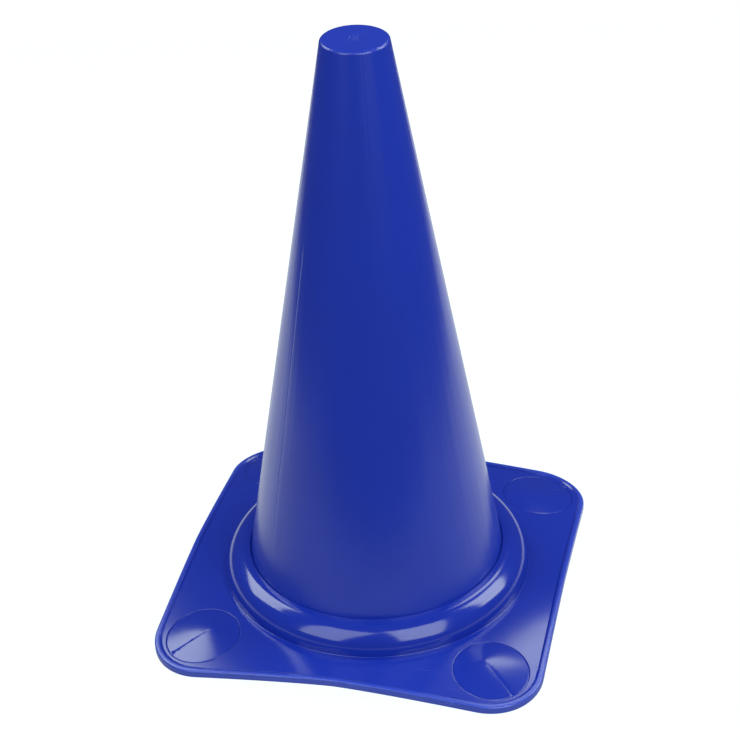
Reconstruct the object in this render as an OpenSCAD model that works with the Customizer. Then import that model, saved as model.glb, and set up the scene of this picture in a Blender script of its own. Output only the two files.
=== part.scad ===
// Sports marker cone: a hollow cone on a square base plate whose corners droop to four round feet.
// Millimetres, +Z up, origin on the floor under the middle of the plate, -Y is the front.

/* [Cone] */
// Height of the whole marker, from the floor to the closed top
overall_h = 381; // [300:1:450]
// Diameter at which the cone's flank meets the top plane
top_d = 40; // [34:1:50]
// Diameter of the cone where it passes the plate's top face
foot_d = 169; // [150:1:172]
// Wall of the cone's flank
cone_wall = 2; // [1.5:0.1:3]
// Thickness of the closed top
top_t = 2.4; // [1.5:0.1:4]
// Rounding of the top edge
shoulder_r = 1; // [0.5:0.1:3]
// Diameter of the sunk gate mark in the middle of the top
gate_d = 7; // [5:0.5:10]
// Depth of the gate mark
gate_depth = 0.4; // [0.2:0.1:0.8]
// Diameter of the gate stub inside the mark
gate_stub_d = 2.4; // [1.5:0.1:3]
// Thickness of the flange at the cone's foot, under the collar's sleeve
flange_t = 2; // [1.5:0.1:2.5]

/* [Collar] */
// Width of the round collar, from the cone's flank to where the collar meets the plate
collar_w = 14.5; // [12:0.5:18]
// Height of the collar's crest above the plate
collar_h = 17; // [15:0.5:20]
// Radius of the collar's rounded outer side
collar_r = 13; // [9:0.5:14]
// Rounding of the collar's inner edge, beside the cone
collar_edge_r = 1.6; // [1:0.1:2.5]
// Hollow fillet between the collar and the plate
collar_fillet_r = 2.5; // [1.5:0.1:4]
// Wall of the collar and of its sleeve round the cone
collar_wall = 2.6; // [2:0.1:3]
// Gap between the cone and the collar's sleeve
sleeve_gap = 0.3; // [0.2:0.05:0.5]

/* [Base plate] */
// Width of the plate from the collar to the middle of each side of the square base
plate_w = 25; // [20:0.5:40]
// Radius of the base's corners
corner_r = 36; // [32:1:44]
// Thickness of the plate
plate_t = 3; // [2.5:0.1:4]
// How far each rounded corner hangs below the middle of the plate
corner_drop = 8.2; // [6:0.1:11]
// Height of the rim's lip above the plate
lip_h = 1.2; // [0.8:0.1:2]
// Width of the lip's flat top
lip_w = 3; // [2.4:0.1:4]
// Width of the slope inside the lip
lip_slope_w = 1.4; // [0.8:0.1:2]
// Rounding of the lip's outer edge
lip_edge_r = 1; // [0.5:0.1:1.5]
// Depth of the rim below the plate's top face
skirt_h = 3.6; // [3.4:0.1:5]
// Wall of the rim
skirt_wall = 3; // [2.2:0.1:3.4]
// Space between the corners of the rim and the floor
rim_gap = 0.6; // [0.3:0.1:1.5]

/* [Feet] */
// Distance from the collar's fillet to the round pad that shows in each corner
pad_in_gap = 5.25; // [4:0.25:8]
// Distance from the pad to the slope of the lip at the corner
pad_out_gap = 2.3; // [1.5:0.1:4]
// Gap round the pad in its hole
pad_gap = 0.25; // [0.15:0.05:0.4]
// How far the pad's edge lies below the plate's face
pad_sink = 0.25; // [0.1:0.05:0.5]
// Rise of the pad's middle above its edge, as a flat cone
pad_rise = 2; // [1:0.1:3]
// Width of the shoulder that each foot has under the plate
shoulder_w = 1.6; // [1:0.1:2]
// Gap between the shoulder and the plate at the pad's middle
shoulder_gap = 1; // [0.9:0.1:1.4]
// Width of the step from the pad's side to the tread that stands on the floor
tread_step = 3.5; // [2:0.1:6]
// Width of the crease from the pad's middle to the corner
crease_w = 1.2; // [0.8:0.1:2]
// Depth of the crease
crease_depth = 0.5; // [0.3:0.1:0.8]

/* [Hidden] */
$fn = 96;
blue = [0.13, 0.2, 0.66];

// Overrun of every cut past the face it opens
cut = 1;

// The plate's flat middle, and the cone's flank
plate_z = rim_gap + skirt_h + corner_drop;
plate_under_z = plate_z - plate_t;
flank_slope = (foot_d - top_d) / 2 / (overall_h - plate_z);
flank_angle = atan(flank_slope);
flank_wall = cone_wall / cos(flank_angle);

// Radius of the cone's outer flank at a height above the floor
function flank_r(z) = foot_d / 2 - (z - plate_z) * flank_slope;

// Middle of the rounding between the flank and the top
shoulder_mid = [top_d / 2 - shoulder_r * tan((90 - flank_angle) / 2), overall_h - shoulder_r];

// The collar: a rounded bead over a hollow, with a sleeve beside the cone
collar_foot_r = foot_d / 2 + collar_w;
collar_mid_r = collar_foot_r - collar_r;
crest_z = plate_z + collar_h;
collar_mid_z = crest_z - collar_r;
edge_z = crest_z - collar_edge_r;
edge_x = flank_r(edge_z) + sleeve_gap + collar_edge_r;
hollow_in_r = flank_r(plate_under_z) + sleeve_gap + collar_wall;
hollow_out_r = collar_foot_r - collar_wall;
hollow_h = collar_r - collar_wall;

// Where the plate starts to bend, at the outer edge of the collar's fillet
bend_r = collar_foot_r + collar_fillet_r;

// The rounded square of the base, and the shares that set how it droops.
// The edge hangs more and more towards each corner, and the plate bends down from the collar outwards,
// where its last bend lies further in than the lip by this share of the lip's whole width.
half_w = collar_foot_r + plate_w;
edge_power_share = 1.33;
bend_power_share = 1.43;
last_bend_share = 1.5;
corner_mid = half_w - corner_r * (1 - sqrt(0.5));
sharp_drop = corner_drop / pow(corner_mid / half_w, 2 * edge_power_share);
corner_reach = (half_w - corner_r) * sqrt(2) + corner_r;

// Points of one corner's arc and of one straight side, and bends of the plate from the collar to the rim
arc_steps = 6;
side_steps = 12;
bend_steps = 5;
quarter_steps = arc_steps + side_steps;
edge_steps = 4 * quarter_steps;

function arc_mid(q) = (half_w - corner_r) * sqrt(2) * [cos(90 * q - 45), sin(90 * q - 45)];
function arc_point(q, share, inset) =
    let (a = 90 * (q - 1 + share))
    arc_mid(q) + (corner_r - inset) * [cos(a), sin(a)];
function blend(a, b, share) = a * (1 - share) + b * share;

// Point number k of the base's outline, moved inwards by inset
function outline(k, inset = 0) =
    let (q = floor(k / quarter_steps), j = k - q * quarter_steps)
    j <= arc_steps
        ? arc_point(q, j / arc_steps, inset)
        : blend(arc_point(q, 1, inset), arc_point(q + 1, 0, inset), (j - arc_steps) / side_steps);

// Drop of the rim at a point of the outline, and of the plate at a share of the way there
function rim_drop(p) = sharp_drop * pow(abs(p.x * p.y) / (half_w * half_w), edge_power_share);
function rim_reach(k) = norm(outline(k)) - bend_r;
function round_point(k, r) = r * outline(k) / norm(outline(k));
function plate_point(k, share, dz) =
    let (p = blend(round_point(k, bend_r), outline(k), share))
    [p.x, p.y, plate_z + dz - rim_drop(outline(k)) * pow(share, bend_power_share)];
function rim_point(k, inset, dz) =
    let (p = outline(k, inset), share = 1 - inset / rim_reach(k))
    [p.x, p.y, plate_z + dz - rim_drop(outline(k)) * pow(share, bend_power_share)];

// Points [radius, height] of the collar's section: the outside from the sleeve's foot over the bead
// to the plate, and the hollow underneath from the wall back to the sleeve
function arc(mid, size, from, to, steps) =
    [for (i = [0 : steps]) let (a = from + (to - from) * i / steps)
        mid + [size.x * cos(a), size.y * sin(a)]];
function round_arc(mid, r, from, to, steps) = arc(mid, [r, r], from, to, steps);
collar_outside = concat(
    [[flank_r(plate_under_z) + sleeve_gap, plate_under_z]],
    round_arc([edge_x, edge_z], collar_edge_r, 180, 90, 3),
    round_arc([collar_mid_r, collar_mid_z], collar_r, 90, 0, 7),
    round_arc([bend_r, plate_z + collar_fillet_r], collar_fillet_r, 180, 270, 3));
collar_inside = concat(
    [[hollow_out_r, plate_under_z]],
    arc([hollow_in_r, collar_mid_z], [hollow_out_r - hollow_in_r, hollow_h], 0, 90, 4),
    [[hollow_in_r, plate_under_z]]);
function collar_part(k, part) =
    [for (c = part) let (p = round_point(k, c.x)) [p.x, p.y, c.y]];

// Share of the way to the rim at which the plate's bend number i lies
function bend_share(k, i) = (1 - last_bend_share * (lip_w + lip_slope_w) / rim_reach(k)) * i / bend_steps;

// Section of the whole base at outline point k, as one closed loop: collar, top, lip, rim and underside
function base_loop(k) = concat(
    collar_part(k, collar_outside),
    [for (i = [1 : bend_steps]) plate_point(k, bend_share(k, i), 0)],
    [rim_point(k, lip_w + lip_slope_w, 0),
     rim_point(k, lip_w, lip_h),
     rim_point(k, lip_edge_r, lip_h),
     rim_point(k, lip_edge_r * (1 - sqrt(0.5)), lip_h - lip_edge_r * (1 - sqrt(0.5))),
     rim_point(k, 0, lip_h - lip_edge_r),
     rim_point(k, 0, -skirt_h),
     rim_point(k, skirt_wall, -skirt_h),
     rim_point(k, skirt_wall, -plate_t)],
    [for (i = [bend_steps : -1 : 0]) plate_point(k, bend_share(k, i), -plate_t)],
    collar_part(k, collar_inside));
loop_len = len(base_loop(0));

// The feet: each pad lies in the plate's slope at its place on the diagonal
pad_in_r = bend_r + pad_in_gap;
pad_out_r = corner_reach - lip_w - lip_slope_w - pad_out_gap;
pad_r = (pad_out_r - pad_in_r) / 2;
pad_place = (pad_out_r + pad_in_r) / 2;
tread_r = pad_r - tread_step;
pad_share = (pad_place - bend_r) / (corner_reach - bend_r);
pad_z = plate_z - corner_drop * pow(pad_share, bend_power_share);
pad_tilt = atan(corner_drop * bend_power_share * pow(pad_share, bend_power_share - 1)
    / (corner_reach - bend_r));
pad_slope = atan(pad_rise / pad_r);
foot_len = pad_z + pad_r;

// The cone's outer solid: flank, rounded edge and flat top, as a half section
module cone_outline() {
    foot_z = plate_under_z - flange_t;
    polygon(concat(
        [[0, foot_z], [flank_r(foot_z), foot_z]],
        round_arc(shoulder_mid, shoulder_r, flank_angle, 90, 4),
        [[0, overall_h]]));
}

// The hollow that lets cones stack, open at the foot
module cone_hollow() {
    foot_z = plate_under_z - flange_t - cut;
    roof_z = overall_h - top_t;
    polygon([[0, foot_z],
             [flank_r(foot_z) - flank_wall, foot_z],
             [flank_r(roof_z) - flank_wall, roof_z],
             [0, roof_z]]);
}

// Hollow tapered cone with a closed top and a flange that seats under the collar's sleeve
module cone_body() {
    color(blue)
    difference() {
        rotate_extrude() {
            difference() {
                union() {
                    cone_outline();
                    translate([0, plate_under_z - flange_t])
                        square([hollow_in_r, flange_t]);
                }
                cone_hollow();
            }
        }
        translate([0, 0, overall_h - gate_depth]) {
            difference() {
                cylinder(h = gate_depth + cut, d = gate_d);
                translate([0, 0, -cut]) cylinder(h = gate_depth + cut, d = gate_stub_d);
            }
        }
    }
}

// The collar, the drooping plate, the lip and the rim, swept round the base's outline
module base_shell() {
    points = [for (k = [0 : edge_steps - 1]) each base_loop(k)];
    faces = [for (k = [0 : edge_steps - 1], i = [0 : loop_len - 1])
        let (k2 = (k + 1) % edge_steps,
             i2 = (i + 1) % loop_len,
             a = k * loop_len + i,
             b = k * loop_len + i2,
             c = k2 * loop_len + i2,
             d = k2 * loop_len + i)
        each [[a, b, c], [a, c, d]]];
    polyhedron(points, faces);
}

// Moves its children from the pad's own frame to the front right, back right, back left or front left
module at_pad(q) {
    rotate([0, 0, 90 * q - 45])
        translate([pad_place, 0, pad_z])
        rotate([0, pad_tilt, 0])
        children();
}

// Square base with the collar, the lip round its edge and a round hole for each foot
module base_plate() {
    color(blue)
    difference() {
        base_shell();
        for (q = [0 : 3]) {
            at_pad(q)
                translate([0, 0, -foot_len])
                cylinder(h = 2 * foot_len, r = pad_r + pad_gap);
        }
    }
}

// One foot: the creased pad that shows from above, the shoulder under the plate and the tread on the floor
module foot(q) {
    shoulder_z = -plate_t - shoulder_gap;
    color(blue)
    difference() {
        at_pad(q) {
            translate([0, 0, shoulder_z])
                cylinder(h = -shoulder_z - pad_sink, r = pad_r);
            translate([0, 0, -pad_sink])
                cylinder(h = pad_rise, r1 = pad_r, r2 = 0);
            translate([0, 0, shoulder_z - shoulder_w])
                cylinder(h = shoulder_w, r = pad_r + shoulder_w);
            translate([0, 0, -foot_len])
                cylinder(h = foot_len + shoulder_z, r = tread_r);
        }
        at_pad(q)
            translate([0, 0, pad_rise - pad_sink])
            rotate([0, pad_slope, 0])
            translate([0, -crease_w / 2, -crease_depth])
            cube([2 * pad_r, crease_w, crease_depth + cut]);
        translate([-2 * half_w, -2 * half_w, -foot_len * 2])
            cube([4 * half_w, 4 * half_w, foot_len * 2]);
    }
}

module foot_front_right() { foot(0); }
module foot_back_right() { foot(1); }
module foot_back_left() { foot(2); }
module foot_front_left() { foot(3); }

cone_body();
base_plate();
foot_front_left();
foot_front_right();
foot_back_left();
foot_back_right();
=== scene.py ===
"""Sports marker cone: detailed meshes, moulded plastic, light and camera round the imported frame."""
from math import atan, ceil, cos, degrees, hypot, pi, radians, sin, sqrt, tan

import bmesh
import bpy
from mathutils import Matrix, Vector
from mathutils.geometry import delaunay_2d_cdt


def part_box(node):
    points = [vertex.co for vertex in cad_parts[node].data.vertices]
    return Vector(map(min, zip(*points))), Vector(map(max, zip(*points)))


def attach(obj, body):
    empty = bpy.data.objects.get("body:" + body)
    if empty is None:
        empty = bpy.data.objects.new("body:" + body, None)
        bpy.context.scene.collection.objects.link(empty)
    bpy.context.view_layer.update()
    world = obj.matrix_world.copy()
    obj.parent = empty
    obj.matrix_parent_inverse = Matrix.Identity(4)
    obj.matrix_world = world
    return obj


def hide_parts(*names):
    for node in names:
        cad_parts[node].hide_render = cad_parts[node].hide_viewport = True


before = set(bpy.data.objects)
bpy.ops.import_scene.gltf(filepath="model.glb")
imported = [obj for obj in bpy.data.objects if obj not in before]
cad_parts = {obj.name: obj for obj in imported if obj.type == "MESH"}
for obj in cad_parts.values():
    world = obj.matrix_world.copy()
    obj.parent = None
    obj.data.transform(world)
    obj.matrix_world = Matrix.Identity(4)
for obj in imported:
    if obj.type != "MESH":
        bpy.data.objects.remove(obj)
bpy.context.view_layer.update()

MM = 0.001

# Sizes that the frame gives
CONE_TOP_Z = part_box("cone_body")[1][2]
CONE_FOOT_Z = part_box("cone_body")[0][2]
CREST_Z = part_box("base_plate")[1][2]
HALF_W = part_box("base_plate")[1][0]

# Cone
TOP_R = 20 * MM
FOOT_R = 84.5 * MM
CONE_WALL = 2 * MM
TOP_T = 2.4 * MM
SHOULDER_R = 1.8 * MM
GATE_R = 3.5 * MM
GATE_DEPTH = 0.12 * MM
GATE_STUB_R = 1.2 * MM
GATE_EASE = 0.5 * MM

# Collar
COLLAR_R = FOOT_R + 14.5 * MM
COLLAR_H = 17 * MM
BEAD_R = 15.5 * MM
BEAD_W = 15 * MM
BEAD_EDGE_R = 1.2 * MM
COLLAR_FILLET = 2.5 * MM
FILLET_ROUND = 0.5 * MM
COLLAR_WALL = 2.6 * MM
SLEEVE_GAP = 0.3 * MM
MOUTH_GAP = 0.1 * MM

# Base plate
CORNER_R = 36 * MM
PLATE_T = 3 * MM
CORNER_DROP = 8.2 * MM
LIP_H = 1.2 * MM
LIP_W = 3 * MM
LIP_SLOPE_W = 1.4 * MM
LIP_EDGE = 1 * MM
SKIRT_H = 3.6 * MM
SKIRT_WALL = 3 * MM
SKIRT_EDGE = 0.5 * MM
EDGE_POWER = 1.33
BEND_POWER = 1.43

# Feet
PAD_IN_GAP = 5.25 * MM
PAD_OUT_GAP = 2.3 * MM
PAD_GAP = 0.25 * MM
PAD_SEAM = 0.1 * MM
PAD_SINK = 0.12 * MM
PAD_RISES = {"foot_front_right": 2.4 * MM, "foot_back_right": 2 * MM,
             "foot_back_left": 2 * MM, "foot_front_left": 2 * MM}
PAD_POWER = 1.2
APEX_SHARE = -0.28
PAD_ROUND = 0.35 * MM
SHOULDER_W = 1.6 * MM
SHOULDER_GAP = 1 * MM
TREAD_STEP = 3.5 * MM
CREASE_FROM = -0.36
CREASE_TO = 0.955
CREASE_EASE = 0.3
CREASE_FROM_W = 0.8 * MM
CREASE_TO_W = 2.2 * MM
CREASE_SLOPE = 0.35

PLATE_Z = CREST_Z - COLLAR_H
PLATE_UNDER_Z = PLATE_Z - PLATE_T
FLANK_SLOPE = (FOOT_R - TOP_R) / (CONE_TOP_Z - PLATE_Z)
FLANK_ANGLE = atan(FLANK_SLOPE)
BEND_R = COLLAR_R + COLLAR_FILLET
CORNER_REACH = (HALF_W - CORNER_R) * sqrt(2) + CORNER_R
PAD_IN_R = BEND_R + PAD_IN_GAP
PAD_OUT_R = CORNER_REACH - LIP_W - LIP_SLOPE_W - PAD_OUT_GAP
PAD_R = (PAD_OUT_R - PAD_IN_R) / 2
PAD_PLACE = (PAD_OUT_R + PAD_IN_R) / 2
TREAD_R = PAD_R - TREAD_STEP

# Smoothness of the meshes
ARC_STEPS = 24
SIDE_STEPS = 40
TURN_STEPS = 256
PAD_STEPS = 96
FLANK_STEPS = 40
SHOULDER_STEPS = 10
GATE_STEPS = 6
BEAD_STEPS = 32
ROUND_STEPS = 8
SKIRT_STEPS = 4
HOLLOW_STEPS = 12
CREASE_STEPS = 24
EDGE_SHARES = (0.12, 0.5, 1, 2)
GRID = 3 * MM
BORDER = 0.6 * MM
SAME_POINT = 1e-8
MERGED = 0.002 * MM
SHARP_ANGLE = 40
SHARP_PAD_ANGLE = 25


def flank_r(z):
    """Radius of the cone's outer flank at a height."""
    return FOOT_R - (z - PLATE_Z) * FLANK_SLOPE


def arc(mid, radius, start, end, steps):
    """Points on an arc about mid, from one angle to the other in degrees."""
    turns = [radians(start + (end - start) * i / steps) for i in range(steps + 1)]
    return [(mid[0] + radius * cos(t), mid[1] + radius * sin(t)) for t in turns]


# Base: the rounded square, the droop of its plate and the sections that run round it

def outline(inset=0.0):
    """Points of the rounded square, moved inwards, one for each direction of the base."""
    points = []
    mid = HALF_W - CORNER_R
    for quarter in range(4):
        turn = radians(90 * quarter)
        corner = Matrix.Rotation(turn, 2) @ Vector((mid, -mid))
        ends = []
        for i in range(ARC_STEPS + 1):
            a = turn + radians(90 * i / ARC_STEPS - 90)
            ends.append(corner + (CORNER_R - inset) * Vector((cos(a), sin(a))))
        following = Matrix.Rotation(turn + pi / 2, 2) @ Vector((mid, -mid))
        start = following + (CORNER_R - inset) * Vector((cos(turn), sin(turn)))
        points += ends
        points += [ends[-1].lerp(start, i / SIDE_STEPS) for i in range(1, SIDE_STEPS)]
    return points


def reach(x, y):
    """Distance from the middle to the rim in the direction of a point."""
    c, s = sorted((abs(x) / hypot(x, y), abs(y) / hypot(x, y)), reverse=True)
    straight = HALF_W / c
    mid = HALF_W - CORNER_R
    if straight * s <= mid:
        return straight
    along = mid * (c + s)
    return along + sqrt(max(along ** 2 - 2 * mid ** 2 + CORNER_R ** 2, 0))


CORNER_MID = HALF_W - CORNER_R * (1 - sqrt(0.5))
SHARP_DROP = CORNER_DROP / (CORNER_MID / HALF_W) ** (2 * EDGE_POWER)


def droop(x, y):
    """How far the plate hangs below its flat middle."""
    r = hypot(x, y)
    if r <= BEND_R:
        return 0.0
    rim = reach(x, y)
    rim_x, rim_y = x * rim / r, y * rim / r
    rim_drop = SHARP_DROP * (abs(rim_x * rim_y) / HALF_W ** 2) ** EDGE_POWER
    return rim_drop * ((r - BEND_R) / (rim - BEND_R)) ** BEND_POWER


def rim_ring(inset, rise):
    return [Vector((p.x, p.y, PLATE_Z - droop(p.x, p.y) + rise)) for p in outline(inset)]


def round_ring(radius, z):
    return [Vector((p.x, p.y, 0)).normalized() * radius + Vector((0, 0, z)) for p in outline()]


def turned_ring(radius, z, steps):
    turns = [2 * pi * i / steps for i in range(steps)]
    return [Vector((radius * cos(t), radius * sin(t), z)) for t in turns]


def join_rings(mesh, rings):
    """Quads between each ring and the next one, all of the same number of points."""
    rows = [[mesh.verts.new(p) for p in ring] for ring in rings]
    for low, high in zip(rows, rows[1:]):
        count = len(low)
        for i in range(count):
            k = (i + 1) % count
            mesh.faces.new((low[i], low[k], high[k], high[i]))
    return rows


def lathe(mesh, profile):
    """Turns a profile of (radius, height) about Z; a radius of 0 closes it with a fan."""
    rings = [turned_ring(r, z, TURN_STEPS) for r, z in profile if r > 0]
    rows = join_rings(mesh, rings)
    for end, row in ((profile[0], rows[0]), (profile[-1], rows[-1][::-1])):
        if end[0] == 0:
            tip = mesh.verts.new((0, 0, end[1]))
            for i in range(len(row)):
                mesh.faces.new((row[(i + 1) % len(row)], row[i], tip))


def patch(mesh, outer, holes, lines, room, height, flip=False):
    """Triangles inside the outer loop and outside the holes, lifted to a height at each point.

    room gives how far a point lies from the nearest border, so that the grid between keeps off it.
    """
    points, edges, owner = [], [], []

    def add(chain, mark, closed):
        first = len(points)
        points.extend(Vector(p) for p in chain)
        owner.extend([mark] * len(chain))
        edges.extend((first + i, first + i + 1) for i in range(len(chain) - 1))
        if closed:
            edges.append((first + len(chain) - 1, first))

    add(outer, -1, True)
    for number, hole in enumerate(holes):
        add(hole, number, True)
    for chain, closed in lines:
        add(chain, -1, closed)
    low = [min(p[i] for p in points) for i in range(2)]
    high = [max(p[i] for p in points) for i in range(2)]
    near = GRID * 0.5
    cells = {}
    for p in points:
        cells.setdefault((round(p.x / GRID), round(p.y / GRID)), []).append(p)
    for i in range(ceil((high[0] - low[0]) / GRID)):
        for j in range(ceil((high[1] - low[1]) / GRID)):
            p = Vector((low[0] + (i + 0.5) * GRID, low[1] + (j + 0.5) * GRID))
            cell = (round(p.x / GRID), round(p.y / GRID))
            beside = [q for a in (-1, 0, 1) for b in (-1, 0, 1)
                      for q in cells.get((cell[0] + a, cell[1] + b), ())]
            if room(p.x, p.y) > near and all((p - q).length > near for q in beside):
                points.append(p)
                owner.append(-1)
    flat, _, faces, sources, _, _ = delaunay_2d_cdt(points, edges, [], 0, SAME_POINT)
    marks = [owner[source[0]] if source else -1 for source in sources]
    verts = [mesh.verts.new((p.x, p.y, height(p.x, p.y))) for p in flat]
    for face in faces:
        if marks[face[0]] >= 0 and len({marks[i] for i in face}) == 1:
            continue
        corners = [verts[i] for i in face]
        mesh.faces.new(corners[::-1] if flip else corners)
    bmesh.ops.delete(mesh, geom=[v for v in verts if not v.link_faces], context="VERTS")


def finish_mesh(mesh, name, material, replaced, sharp=SHARP_ANGLE):
    """Closes the mesh, turns its faces outwards and makes it a piece in place of a CAD node."""
    bmesh.ops.remove_doubles(mesh, verts=mesh.verts, dist=MERGED)
    bmesh.ops.recalc_face_normals(mesh, faces=mesh.faces)
    data = bpy.data.meshes.new(name)
    mesh.to_mesh(data)
    mesh.free()
    data.shade_smooth()
    data.set_sharp_from_angle(angle=radians(sharp))
    data.materials.append(material)
    piece = bpy.data.objects.new(name, data)
    bpy.context.scene.collection.objects.link(piece)
    weighted = piece.modifiers.new("normals", "WEIGHTED_NORMAL")
    weighted.keep_sharp = True
    weighted.weight = 100
    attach(piece, "root")
    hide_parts(replaced)
    return piece


def make_cone(material):
    """Hollow cone: foot flange, flank, rounded top edge, closed top with the gate mark, inside."""
    round_z = CONE_TOP_Z - SHOULDER_R
    round_x = TOP_R - SHOULDER_R * tan((pi / 2 - FLANK_ANGLE) / 2)
    flange_r = flank_r(PLATE_UNDER_Z) + SLEEVE_GAP + COLLAR_WALL
    wall = CONE_WALL / cos(FLANK_ANGLE)
    roof_z = CONE_TOP_Z - TOP_T
    gate_z = CONE_TOP_Z - GATE_DEPTH
    profile = [(flank_r(CONE_FOOT_Z) - wall, CONE_FOOT_Z), (flange_r, CONE_FOOT_Z),
               (flange_r, PLATE_UNDER_Z), (flank_r(PLATE_UNDER_Z), PLATE_UNDER_Z)]
    top_of_flank = round_z + SHOULDER_R * sin(FLANK_ANGLE)
    for i in range(1, FLANK_STEPS):
        z = PLATE_UNDER_Z + (top_of_flank - PLATE_UNDER_Z) * i / FLANK_STEPS
        profile.append((flank_r(z), z))
    profile += arc((round_x, round_z), SHOULDER_R, degrees(FLANK_ANGLE), 90, SHOULDER_STEPS)
    for radius, z, rise in ((GATE_R, CONE_TOP_Z, -GATE_DEPTH / 2),
                            (GATE_STUB_R, gate_z, GATE_DEPTH / 4)):
        for i in range(GATE_STEPS + 1):
            share = i / GATE_STEPS
            profile.append((radius - GATE_EASE * (share - 0.5), z + rise * (1 - cos(pi * share))))
    profile += [(0, gate_z + GATE_DEPTH / 2)]
    hollow = [(0, roof_z), (flank_r(roof_z) - wall, roof_z),
              (flank_r(CONE_FOOT_Z) - wall, CONE_FOOT_Z)]
    mesh = bmesh.new()
    lathe(mesh, profile)
    lathe(mesh, hollow)
    return finish_mesh(mesh, "cone_shell", material, "cone_body")


# Feet: the pad lies in the plate's slope at its place on the diagonal

PAD_SHARE = (PAD_PLACE - BEND_R) / (CORNER_REACH - BEND_R)
PAD_MID_Z = PLATE_Z - CORNER_DROP * PAD_SHARE ** BEND_POWER
PAD_TILT = atan(CORNER_DROP * BEND_POWER * PAD_SHARE ** (BEND_POWER - 1) / (CORNER_REACH - BEND_R))


def pad_frame(turn):
    """Matrix from a pad's own frame, with X down the slope to the corner, to the base."""
    return (Matrix.Rotation(radians(turn), 4, "Z")
            @ Matrix.Translation((PAD_PLACE, 0, PAD_MID_Z))
            @ Matrix.Rotation(PAD_TILT, 4, "Y"))


def pad_circle(turn, radius):
    """Circle in a pad's plane, seen from above."""
    return [(pad_frame(turn) @ p).xy for p in turned_ring(radius, 0, PAD_STEPS)]


def pad_local(turn, x, y):
    """Where a point of the plate lies in a pad's plane."""
    p = Matrix.Rotation(radians(-turn), 2) @ Vector((x, y))
    return (p.x - PAD_PLACE) / cos(PAD_TILT), p.y


TURNS = {"foot_front_right": -45, "foot_back_right": 45, "foot_back_left": 135,
         "foot_front_left": -135}


def edge_dip(past):
    """How far a rounded edge has gone down at a distance from its start."""
    if past <= 0:
        return 0.0
    past = min(past, PAD_ROUND)
    return PAD_ROUND - sqrt(PAD_ROUND ** 2 - past ** 2)


def plate_top(x, y):
    near = min(hypot(*pad_local(turn, x, y)) for turn in TURNS.values()) - PAD_R - PAD_SEAM
    return PLATE_Z - droop(x, y) - edge_dip(PAD_ROUND - near)


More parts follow.
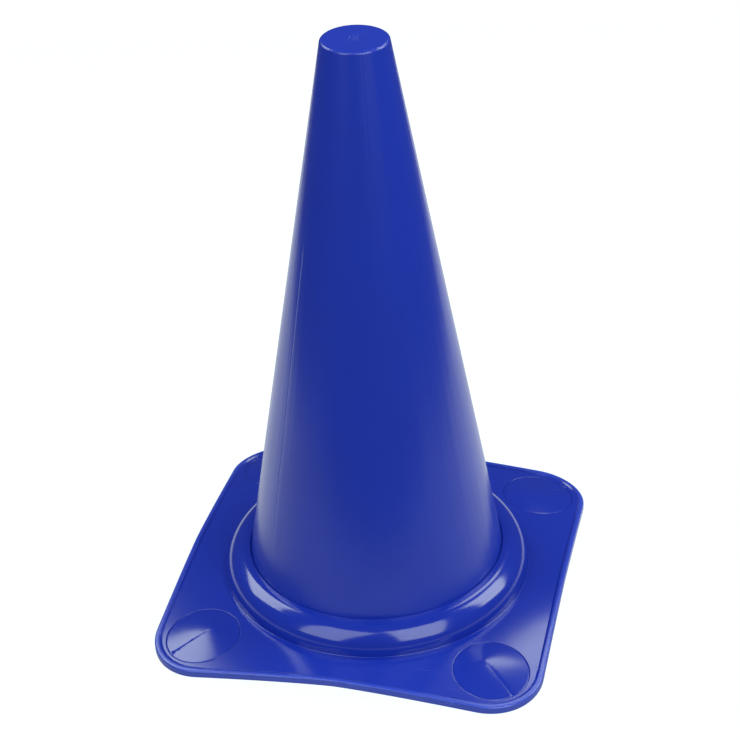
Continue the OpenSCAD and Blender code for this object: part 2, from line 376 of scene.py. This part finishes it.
def make_base(material):
    """Base: sleeve, collar, drooping plate with four round holes, lip, rim and underside."""
    edge_z = CREST_Z - BEAD_EDGE_R
    sleeve_x = flank_r(edge_z) + MOUTH_GAP
    foot_in = flank_r(PLATE_UNDER_Z) + SLEEVE_GAP
    bead_mid = (COLLAR_R - BEAD_W, CREST_Z - BEAD_R)
    collar = [(foot_in, PLATE_UNDER_Z)]
    collar += arc((sleeve_x + BEAD_EDGE_R, edge_z), BEAD_EDGE_R, 180, 90, ROUND_STEPS)
    for i in range(BEAD_STEPS + 1):
        a = pi / 2 * (1 - i / BEAD_STEPS)
        collar.append((bead_mid[0] + BEAD_W * cos(a), bead_mid[1] + BEAD_R * sin(a)))
    fillet_mid = (COLLAR_R + FILLET_ROUND, PLATE_Z + FILLET_ROUND)
    collar += arc(fillet_mid, FILLET_ROUND, 180, 270, ROUND_STEPS)
    collar += [(BEND_R, PLATE_Z)]
    slope = [(LIP_W + LIP_SLOPE_W, 0), (LIP_W + LIP_SLOPE_W * 0.75, LIP_H * 0.2),
             (LIP_W + LIP_SLOPE_W * 0.25, LIP_H * 0.8), (LIP_W, LIP_H)]
    lip = slope + [(LIP_EDGE - x, LIP_H - LIP_EDGE + z)
                   for x, z in arc((0, 0), LIP_EDGE, 90, 0, ROUND_STEPS)]
    skirt = [(SKIRT_EDGE - x, -SKIRT_H + SKIRT_EDGE - z)
             for x, z in arc((0, 0), SKIRT_EDGE, 0, 90, SKIRT_STEPS)]
    under = [(SKIRT_WALL, -SKIRT_H), (SKIRT_WALL, -PLATE_T)]
    hollow_out = COLLAR_R - COLLAR_WALL
    hollow_in = foot_in + COLLAR_WALL
    hollow_h = BEAD_R - COLLAR_WALL
    hollow_w = hollow_out - hollow_in
    hollow = [(hollow_out, PLATE_UNDER_Z)]
    for i in range(HOLLOW_STEPS + 1):
        a = radians(90 * i / HOLLOW_STEPS)
        hollow.append((hollow_in + hollow_w * cos(a), bead_mid[1] + hollow_h * sin(a)))
    hollow += [(hollow_in, PLATE_UNDER_Z), (foot_in, PLATE_UNDER_Z)]

    mesh = bmesh.new()
    join_rings(mesh, [round_ring(r, z) for r, z in collar])
    join_rings(mesh, [rim_ring(inset, rise) for inset, rise in lip + skirt + under])
    join_rings(mesh, [round_ring(r, z) for r, z in hollow])

    mouths = [pad_circle(turn, PAD_R + PAD_SEAM) for turn in TURNS.values()]
    holes = [pad_circle(turn, PAD_R + PAD_GAP) for turn in TURNS.values()]
    rims = [(pad_circle(turn, PAD_R + PAD_SEAM + PAD_ROUND * share), True)
            for turn in TURNS.values() for share in EDGE_SHARES]
    foot_of_lip = LIP_W + LIP_SLOPE_W
    rims += [(outline(foot_of_lip + BORDER), True),
             ([p.xy for p in round_ring(BEND_R + BORDER, 0)], True)]

    def room(x, y, round_r, inset):
        past_holes = min(hypot(*pad_local(turn, x, y)) for turn in TURNS.values()) - PAD_R - PAD_GAP
        return min(hypot(x, y) - round_r, inside(x, y) - inset, past_holes)

    def plate_at(x, y, below):
        return PLATE_Z - droop(x, y) - below

    def lifted(loop, height):
        return [Vector((p.x, p.y, height(p.x, p.y))) for p in loop]

    patch(mesh, outline(foot_of_lip), [[p.xy for p in round_ring(BEND_R, 0)]] + mouths, rims,
          lambda x, y: room(x, y, BEND_R, foot_of_lip), plate_top)
    patch(mesh, outline(SKIRT_WALL), [[p.xy for p in round_ring(hollow_out, 0)]] + holes, [],
          lambda x, y: room(x, y, hollow_out, SKIRT_WALL),
          lambda x, y: plate_at(x, y, PLATE_T), flip=True)
    for mouth, hole in zip(mouths, holes):
        join_rings(mesh, [lifted(mouth, plate_top),
                          lifted(mouth, lambda x, y: plate_at(x, y, 2 * PAD_ROUND)),
                          lifted(hole, lambda x, y: plate_at(x, y, PLATE_T))])
    return finish_mesh(mesh, "base_shell", material, "base_plate")


def inside(x, y):
    """How far inside the rounded square's edge a point lies."""
    mid = HALF_W - CORNER_R
    dx, dy = max(abs(x) - mid, 0), max(abs(y) - mid, 0)
    if dx == 0 and dy == 0:
        return HALF_W - max(abs(x), abs(y))
    return CORNER_R - hypot(dx, dy)


def make_foot(name, turn, rise, material):
    """One foot: creased pad, wall, shoulder under the plate and tread on the floor."""
    place = pad_frame(turn)
    down = place.to_3x3() @ Vector((0, 0, -1))

    def crease_w(u):
        return CREASE_FROM_W + (CREASE_TO_W - CREASE_FROM_W) * max(0, u / PAD_R)

    def crease(u, v):
        past = u / PAD_R - CREASE_FROM
        if past <= 0:
            return 0.0
        half = crease_w(u) / 2
        return half * CREASE_SLOPE * min(1, past / CREASE_EASE) * max(0, 1 - abs(v) / half)

    def share_out(u, v):
        """0 at the pad's apex, which lies nearer to the cone than its middle, and 1 at its edge."""
        apex = APEX_SHARE * PAD_R
        along, far, room = (u - apex) * apex, (u - apex) ** 2 + v ** 2, PAD_R ** 2 - apex ** 2
        return min(1, (along + sqrt(along ** 2 + room * far)) / room)

    def top(x, y):
        u, v = pad_local(turn, x, y)
        r = hypot(u, v)
        lift = rise * (1 - share_out(u, v) ** PAD_POWER)
        cut = edge_dip(r - PAD_R + PAD_ROUND) + crease(u, v)
        return PLATE_Z - droop(x, y) - PAD_SINK + lift - cut

    mesh = bmesh.new()
    edge = pad_circle(turn, PAD_R)
    rims = [(pad_circle(turn, PAD_R - PAD_ROUND * share), True) for share in EDGE_SHARES]
    for side in (-0.5, 0, 0.5):
        line = []
        for i in range(1, CREASE_STEPS + 1):
            u = PAD_R * (CREASE_FROM + (CREASE_TO - CREASE_FROM) * i / CREASE_STEPS)
            line.append((place @ Vector((u, crease_w(u) * side, 0))).xy)
        rims.append((line, False))
    patch(mesh, edge, [], rims, lambda x, y: PAD_R - hypot(*pad_local(turn, x, y)), top)
    shoulder_z = -PLATE_T - SHOULDER_GAP
    steps = [(PAD_R, shoulder_z), (PAD_R + SHOULDER_W, shoulder_z),
             (PAD_R + SHOULDER_W, shoulder_z - SHOULDER_W), (TREAD_R, shoulder_z - SHOULDER_W)]
    rings = [[Vector((p.x, p.y, top(p.x, p.y))) for p in edge]]
    for radius, z in steps:
        rings.append([place @ p for p in turned_ring(radius, z, PAD_STEPS)])
    rings.append([p + down * (p.z / -down.z) for p in rings[-1]])
    rows = join_rings(mesh, rings)
    mesh.faces.new(rows[-1])
    return finish_mesh(mesh, name, material, name.replace("_piece", ""), SHARP_PAD_ANGLE)


def add_node(tree, kind, inputs=(), **settings):
    """Adds a node; its inputs are given as values or as sockets to link from."""
    node = tree.nodes.new(kind)
    for key, value in settings.items():
        setattr(node, key, value)
    for key, value in dict(inputs).items():
        if isinstance(value, bpy.types.NodeSocket):
            tree.links.new(value, node.inputs[key])
        else:
            node.inputs[key].default_value = value
    return node


def maths(tree, operation, *values):
    return add_node(tree, "ShaderNodeMath", dict(enumerate(values)), operation=operation).outputs[0]


def ramp(tree, value, low, high, to_low, to_high):
    """Takes a value from one range to another and stops at its ends."""
    inputs = {0: value, 1: low, 2: high, 3: to_low, 4: to_high}
    return add_node(tree, "ShaderNodeMapRange", inputs).outputs[0]


def noise(tree, vector, scale, detail=2.0, roughness=0.5):
    inputs = {"Vector": vector, "Scale": scale, "Detail": detail, "Roughness": roughness}
    return add_node(tree, "ShaderNodeTexNoise", inputs).outputs[0]


def point(tree, *coordinates):
    return add_node(tree, "ShaderNodeCombineXYZ", dict(enumerate(coordinates))).outputs[0]


def split(tree, vector):
    return add_node(tree, "ShaderNodeSeparateXYZ", {0: vector}).outputs


def blend_colour(tree, share, first, second):
    mixed = add_node(tree, "ShaderNodeMix", {0: share, 6: first, 7: second}, data_type="RGBA")
    return mixed.outputs[2]


# Plastic: scales are per metre, heights in metres, and the shares of gloss add to the roughness

BLUE = (0.0115, 0.038, 0.510, 1)
DEEP_BLUE = (0.009, 0.029, 0.420, 1)
# Lighter blue for scratch wear, the painted highlight along the seam and the painted light on the rim
LIT_AND_WORN_BLUE = (0.060, 0.110, 0.760, 1)
CONE_ROUGHNESS = 0.25
BASE_ROUGHNESS = 0.165
DRIFT_SCALE = 16
DEEP_SHARES = {True: (0, 0.5), False: (0.5, 1)}
DRIFT_GLOSS = (-0.01, 0.02)
SKIN_SCALE = 700
SKIN_HEIGHT = 0.0025 * MM

FLOW_SCALE = 9
FLOW_STRETCH = 0.35
FLOW_HEIGHT = 0.25 * MM
RINGS_SCALE = 400
RINGS_WAVE = 2
RINGS_HEIGHT = 0.06 * MM
RINGS_FROM = (0.27, 0.33)
SEAM_TURN = -134.9
SEAM_DEPTH = 0.42 * MM
SEAM_HALF_W = 3 * MM
SEAM_TIP_Z = 0.42
SEAM_TOP = (0.262, 0.245)
SEAM_FOOT = (0.05, 0.09)
# Share of lighter blue painted along the seam as its highlight
SEAM_PAINTED_HIGHLIGHT = 0.6

SCRATCH_TURNS = ((0.2, 0.1, 0.6), (-0.3, 0.2, -0.9))
SCRATCH_STRETCH = (14, 900, 14)
SCRATCH_PATCHES = 22
SCRATCH_DEPTH = 0.004 * MM
SCRATCH_GLOSS = 0.12
SCRATCH_RUBBED = 0.1
RIM_FROM = HALF_W - 3.5 * MM
RIM_TO = HALF_W - 0.5 * MM
RIM_SCALE = 55
RIM_GLOSS = 0.1
# Share of lighter blue painted on the rim band as light falling on the lip
RIM_PAINTED_LIGHT = 0.6
COLLAR_POLISH = -0.05
POLISH_FROM = COLLAR_R - 1 * MM
POLISH_TO = COLLAR_R + 3 * MM


def scratches(tree, place, turn):
    """Mask of fine straight scratches that run one way, in patches."""
    lines = add_node(tree, "ShaderNodeMapping",
                     {"Vector": place, "Rotation": turn, "Scale": SCRATCH_STRETCH})
    thin = ramp(tree, noise(tree, lines.outputs[0], 1, 1), 0.70, 0.78, 0, 1)
    cover = ramp(tree, noise(tree, place, SCRATCH_PATCHES, 3), 0.5, 0.62, 0, 1)
    return maths(tree, "MULTIPLY", thin, cover)


def cone_finish(tree, flat, z, height):
    """Long waves down the flank, turning rings near the top and the mould's seam, with a painted
    highlight along the seam.
    """
    around = add_node(tree, "ShaderNodeVectorMath", {0: flat}, operation="NORMALIZE").outputs[0]
    east, north, _ = split(tree, around)
    run = point(tree, east, north, maths(tree, "MULTIPLY", z, FLOW_STRETCH))
    flow = noise(tree, run, FLOW_SCALE, 2, 0.5)
    height = maths(tree, "ADD", height, maths(tree, "MULTIPLY", flow, FLOW_HEIGHT))
    rings = point(tree, *(maths(tree, "MULTIPLY", value, scale) for value, scale in
                          ((east, RINGS_WAVE), (north, RINGS_WAVE), (z, RINGS_SCALE))))
    rings = maths(tree, "MULTIPLY", noise(tree, rings, 1, 2), ramp(tree, z, *RINGS_FROM, 0, 1))
    height = maths(tree, "ADD", height, maths(tree, "MULTIPLY", rings, RINGS_HEIGHT))
    x, y, _ = split(tree, flat)
    # About the distance to the seam, which runs straight up the flank
    off = maths(tree, "SUBTRACT", maths(tree, "ARCTAN2", y, x), radians(SEAM_TURN))
    beside = maths(tree, "MULTIPLY", maths(tree, "ABSOLUTE", off),
                   maths(tree, "SUBTRACT", SEAM_TIP_Z, z))
    ends = maths(tree, "MULTIPLY", ramp(tree, z, *SEAM_TOP, 0, 1), ramp(tree, z, *SEAM_FOOT, 0, 1))
    seam = maths(tree, "MULTIPLY", ramp(tree, beside, 0, SEAM_HALF_W, 1, 0), ends)
    height = maths(tree, "SUBTRACT", height, maths(tree, "MULTIPLY", seam, SEAM_DEPTH))
    # The seam's lighter colour is a painted highlight
    return height, maths(tree, "MULTIPLY", seam, SEAM_PAINTED_HIGHLIGHT)


def base_finish(tree, place, flat, height, gloss):
    """Fine scratches, a rougher rim with painted light on the lip, and a smoother collar."""
    worn = maths(tree, "MAXIMUM", *(scratches(tree, place, turn) for turn in SCRATCH_TURNS))
    height = maths(tree, "SUBTRACT", height, maths(tree, "MULTIPLY", worn, SCRATCH_DEPTH))
    # A square with rounded corners; the factor of 8 keeps the powers from growing too small
    eighths = [maths(tree, "POWER", maths(tree, "MULTIPLY", maths(tree, "ABSOLUTE", way), 8), 8)
               for way in split(tree, flat)[:2]]
    edge = maths(tree, "POWER", maths(tree, "ADD", *eighths), 1 / 8)
    edge = maths(tree, "MULTIPLY", edge, 1 / 8)
    speckle = ramp(tree, noise(tree, place, RIM_SCALE, 4, 0.7), 0.35, 0.6, 0.8, 1)
    rim = maths(tree, "MULTIPLY", ramp(tree, edge, RIM_FROM, RIM_TO, 0, 1), speckle)
    radius = add_node(tree, "ShaderNodeVectorMath", {0: flat}, operation="LENGTH").outputs["Value"]
    for more in (maths(tree, "MULTIPLY", worn, SCRATCH_GLOSS),
                 maths(tree, "MULTIPLY", rim, RIM_GLOSS),
                 ramp(tree, radius, POLISH_FROM, POLISH_TO, COLLAR_POLISH, 0)):
        gloss = maths(tree, "ADD", gloss, more)
    # Lighter colour from scratch wear, and painted light on the rim
    wear_and_painted_light = maths(tree, "MAXIMUM", maths(tree, "MULTIPLY", worn, SCRATCH_RUBBED),
                   maths(tree, "MULTIPLY", rim, RIM_PAINTED_LIGHT))
    return height, gloss, wear_and_painted_light


def make_plastic(name, roughness, cone):
    """Semi-gloss blue plastic with slow colour drift, a faint skin, lighter scratches and painted
    light on the seam and rim.
    """
    material = bpy.data.materials.new(name)
    material.use_nodes = True
    tree = material.node_tree
    shader = tree.nodes["Principled BSDF"]
    shader.inputs["IOR"].default_value = 1.5
    shader.inputs["Specular IOR Level"].default_value = 0.7
    place = add_node(tree, "ShaderNodeTexCoord").outputs["Object"]
    x, y, z = split(tree, place)
    flat = point(tree, x, y)
    drift = noise(tree, place, DRIFT_SCALE, 4, 0.6)
    height = maths(tree, "MULTIPLY", noise(tree, place, SKIN_SCALE, 3), SKIN_HEIGHT)
    gloss = ramp(tree, drift, 0.35, 0.65, *DRIFT_GLOSS)
    if cone:
        height, wear_and_painted_light = cone_finish(tree, flat, z, height)
    else:
        height, gloss, wear_and_painted_light = base_finish(tree, place, flat, height, gloss)
    deep = ramp(tree, drift, 0.3, 0.7, *DEEP_SHARES[cone])
    # Lighter blue where scratched, and painted light along the seam and on the rim
    colour = blend_colour(tree, wear_and_painted_light, blend_colour(tree, deep, BLUE, DEEP_BLUE), LIT_AND_WORN_BLUE)
    bump = add_node(tree, "ShaderNodeBump", {"Strength": 1.0, "Distance": 1.0, "Height": height})
    tree.links.new(colour, shader.inputs["Base Color"])
    tree.links.new(maths(tree, "ADD", gloss, roughness), shader.inputs["Roughness"])
    tree.links.new(bump.outputs[0], shader.inputs["Normal"])
    return material


# Camera: fitted to the photograph, in degrees and metres

CAMERA_AZIMUTH = 14.162
CAMERA_ELEVATION = 37.891
CAMERA_DISTANCE = 1.3638
CAMERA_ROLL = -2.422
CAMERA_YAW = -0.131
CAMERA_PITCH = 32.674
FOCAL_PX = 2066.538
CENTRE_PX = (372.979, 369.655)
FRAME_PX = 740
SENSOR_MM = 36


def direction(azimuth, elevation):
    """Unit vector at an azimuth from the front, to the right, and an elevation, in degrees."""
    a, e = radians(azimuth), radians(elevation)
    return Vector((sin(a) * cos(e), -cos(a) * cos(e), sin(e)))


def make_camera():
    data = bpy.data.cameras.new("camera")
    data.sensor_width = SENSOR_MM
    data.lens = FOCAL_PX / FRAME_PX * SENSOR_MM
    data.shift_x = (FRAME_PX / 2 - CENTRE_PX[0]) / FRAME_PX
    data.shift_y = (CENTRE_PX[1] - FRAME_PX / 2) / FRAME_PX
    data.clip_start = 0.05
    camera = bpy.data.objects.new("camera", data)
    place = Vector((0, 0, PLATE_Z)) + direction(CAMERA_AZIMUTH, CAMERA_ELEVATION) * CAMERA_DISTANCE
    look = -direction(CAMERA_AZIMUTH + CAMERA_YAW, CAMERA_PITCH)
    level = look.cross(Vector((0, 0, 1))).normalized()
    upright = level.cross(look)
    roll = radians(CAMERA_ROLL)
    right = level * cos(roll) + upright * sin(roll)
    up = upright * cos(roll) - level * sin(roll)
    axes = Matrix((right, up, -look)).transposed()
    camera.matrix_world = Matrix.Translation(place) @ axes.to_4x4()
    bpy.context.scene.collection.objects.link(camera)
    bpy.context.scene.camera = camera


# Light: five soft panels round the object, their azimuths counted from the camera's

PANEL_DISTANCE = 1.5
PANEL_COLOUR = (1.0, 1.09, 0.95)
PANELS = {
    "panel_back_left": dict(azimuth=-123, elevation=46, size=(0.90, 0.58),
                            roll=-20, radiance=4.3),
    "panel_front_left": dict(azimuth=-40.6, elevation=44.4, size=(0.80, 1.43),
                             roll=-4.7, radiance=2.12),
    "panel_front_right": dict(azimuth=32, elevation=43.1, size=(0.82, 1.43),
                              roll=-8.8, radiance=2.95),
    "panel_back_right": dict(azimuth=104.7, elevation=41.5, size=(1.00, 0.60),
                             roll=52, radiance=4.7),
    "panel_far_right": dict(azimuth=151, elevation=52, size=(0.25, 0.40),
                            roll=-8, radiance=4.0),
}


def make_panel(name, azimuth, elevation, size, roll, radiance):
    data = bpy.data.lights.new(name, "AREA")
    data.shape = "RECTANGLE"
    data.size, data.size_y = size
    data.energy = radiance * size[0] * size[1] * pi
    data.color = PANEL_COLOUR
    light = bpy.data.objects.new(name, data)
    away = direction(CAMERA_AZIMUTH + azimuth, elevation)
    side = Vector((0, 0, 1)).cross(away).normalized()
    up = away.cross(side)
    turn = radians(roll)
    right = side * cos(turn) + up * sin(turn)
    top = up * cos(turn) - side * sin(turn)
    axes = Matrix((right, top, away)).transposed()
    light.matrix_world = Matrix.Translation(away * PANEL_DISTANCE) @ axes.to_4x4()
    light.visible_camera = False
    bpy.context.scene.collection.objects.link(light)


def seen_white(tree, mirrored):
    """Socket that is 1 for what the camera or a refraction sees, and mirrored for a reflection."""
    path = add_node(tree, "ShaderNodeLightPath").outputs
    most = maths(tree, "MULTIPLY", path["Is Glossy Ray"], mirrored)
    for ray in ("Is Camera Ray", "Is Transmission Ray"):
        most = maths(tree, "MAXIMUM", most, path[ray])
    return most


AMBIENT = 0.085
FLOOR_WHITE_SHARE = 0.86
FLOOR_ALBEDO = 0.36
FLOOR_FRONT = 0.295
FLOOR_BACK = 0.9
FLOOR_LEFT = 0.5
FLOOR_RIGHT = 0.46
FLOOR_GLOW = 1.2
FLOOR_GLOW_COLOUR = (0.93, 1.0, 1.02, 1)
MIRRORED_FRONT = (0.30, 0.06)
MIRRORED_BACK = (-0.07, 0.86)
MIRRORED_POWER = 2.3
WALL_RADIUS = 2.6


def make_world():
    world = bpy.data.worlds.new("studio")
    bpy.context.scene.world = world
    world.use_nodes = True
    nodes, links = world.node_tree.nodes, world.node_tree.links
    nodes.clear()
    dim, white = nodes.new("ShaderNodeBackground"), nodes.new("ShaderNodeBackground")
    dim.inputs["Color"].default_value = (AMBIENT, AMBIENT, AMBIENT, 1)
    white.inputs["Color"].default_value = (1, 1, 1, 1)
    mix, out = nodes.new("ShaderNodeMixShader"), nodes.new("ShaderNodeOutputWorld")
    links.new(seen_white(world.node_tree, 1), mix.inputs[0])
    links.new(dim.outputs[0], mix.inputs[1])
    links.new(white.outputs[0], mix.inputs[2])
    links.new(mix.outputs[0], out.inputs[0])


def stage_object(name, mesh, material):
    data = bpy.data.meshes.new(name)
    mesh.to_mesh(data)
    mesh.free()
    data.materials.append(material)
    piece = bpy.data.objects.new(name, data)
    bpy.context.scene.collection.objects.link(piece)
    return piece


def make_walls():
    """Dim walls of the studio, which light and reflections meet and the camera does not."""
    material = bpy.data.materials.new("studio_walls")
    material.use_nodes = True
    nodes, links = material.node_tree.nodes, material.node_tree.links
    nodes.clear()
    glow, out = nodes.new("ShaderNodeEmission"), nodes.new("ShaderNodeOutputMaterial")
    glow.inputs["Color"].default_value = (AMBIENT, AMBIENT, AMBIENT, 1)
    links.new(glow.outputs[0], out.inputs[0])
    mesh = bmesh.new()
    bmesh.ops.create_icosphere(mesh, subdivisions=4, radius=WALL_RADIUS)
    walls = stage_object("studio_walls", mesh, material)
    walls.visible_camera = False
    walls.visible_transmission = False
    walls.visible_shadow = False


def make_floor():
    """White sheet on the table, square to the camera, that keeps a faint shadow.

    In a reflection it is darker towards the camera, where no panel stands over it.
    """
    material = bpy.data.materials.new("white_sheet")
    material.use_nodes = True
    nodes, links = material.node_tree.nodes, material.node_tree.links
    nodes.clear()
    matt, glow = nodes.new("ShaderNodeBsdfDiffuse"), nodes.new("ShaderNodeEmission")
    matt.inputs["Color"].default_value = (FLOOR_ALBEDO, FLOOR_ALBEDO, FLOOR_ALBEDO, 1)
    glow.inputs["Color"].default_value = FLOOR_GLOW_COLOUR
    glow.inputs["Strength"].default_value = FLOOR_GLOW
    tree = material.node_tree
    front = direction(CAMERA_AZIMUTH, 0)
    place = add_node(tree, "ShaderNodeTexCoord").outputs["Object"]
    along = add_node(tree, "ShaderNodeVectorMath", {0: place, 1: front}, operation="DOT_PRODUCT")
    fade = ramp(tree, along.outputs["Value"], MIRRORED_BACK[0], MIRRORED_FRONT[0], 1, 0)
    fade = maths(tree, "POWER", fade, MIRRORED_POWER)
    mirrored = ramp(tree, fade, 0, 1, MIRRORED_FRONT[1], MIRRORED_BACK[1])
    share = maths(tree, "MULTIPLY", seen_white(tree, mirrored), FLOOR_WHITE_SHARE)
    mix, out = nodes.new("ShaderNodeMixShader"), nodes.new("ShaderNodeOutputMaterial")
    links.new(share, mix.inputs[0])
    links.new(matt.outputs[0], mix.inputs[1])
    links.new(glow.outputs[0], mix.inputs[2])
    links.new(mix.outputs[0], out.inputs[0])
    side = direction(CAMERA_AZIMUTH + 90, 0)
    mesh = bmesh.new()
    corners = [front * FLOOR_FRONT - side * FLOOR_LEFT, front * FLOOR_FRONT + side * FLOOR_RIGHT,
               -front * FLOOR_BACK + side * FLOOR_RIGHT, -front * FLOOR_BACK - side * FLOOR_LEFT]
    mesh.faces.new([mesh.verts.new(p) for p in corners])
    stage_object("white_sheet", mesh, material)


make_cone(make_plastic("blue_plastic_cone", CONE_ROUGHNESS, True))
plastic = make_plastic("blue_plastic_base", BASE_ROUGHNESS, False)
make_base(plastic)
for foot, turn in TURNS.items():
    make_foot(foot + "_piece", turn, PAD_RISES[foot], plastic)
make_camera()
for name, panel in PANELS.items():
    make_panel(name, **panel)
make_world()
make_walls()
make_floor()
bpy.context.scene.view_settings.view_transform = "Standard"
